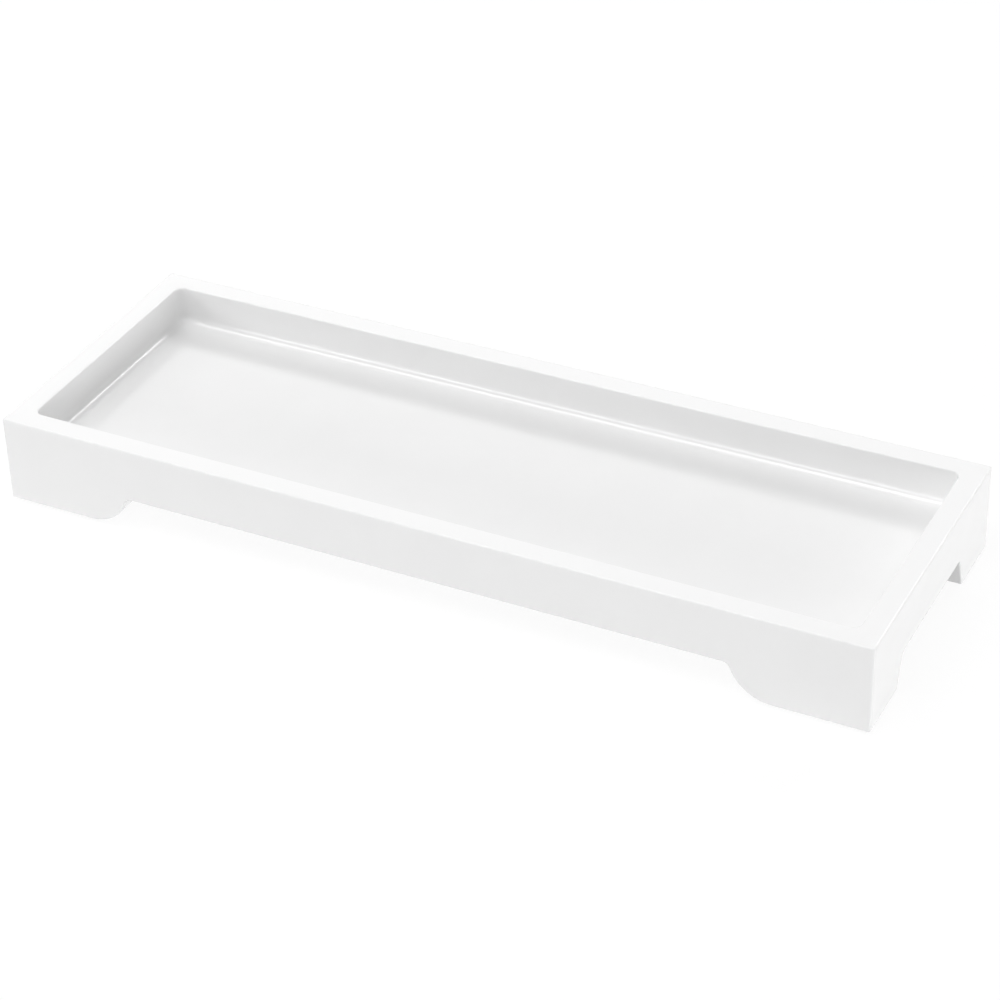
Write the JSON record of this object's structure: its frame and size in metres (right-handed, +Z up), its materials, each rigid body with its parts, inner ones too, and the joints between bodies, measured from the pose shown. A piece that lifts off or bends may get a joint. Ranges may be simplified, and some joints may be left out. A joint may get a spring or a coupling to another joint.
{
  "type": "vanity tray",
  "caption": "Long, low white cast-resin tray with a shallow rectangular well, arched cut-outs along every side and block feet on thin anti-slip pads.",
  "frame": {"origin": "on the surface that the tray stands on, under the middle of the tray", "axes": "+X along the length to the right, +Y from the front to the back, +Z up"},
  "size_m": [0.3, 0.105, 0.0318],
  "materials": {
    "white_resin": "satin, smooth cast resin",
    "pad_rubber": "matt"
  },
  "bodies": {
    "root": {"tray_body": "white_resin", "foot_pad_front_left": "pad_rubber", "foot_pad_front_right": "pad_rubber", "foot_pad_back_left": "pad_rubber", "foot_pad_back_right": "pad_rubber"}
  },
  "joints": []
}
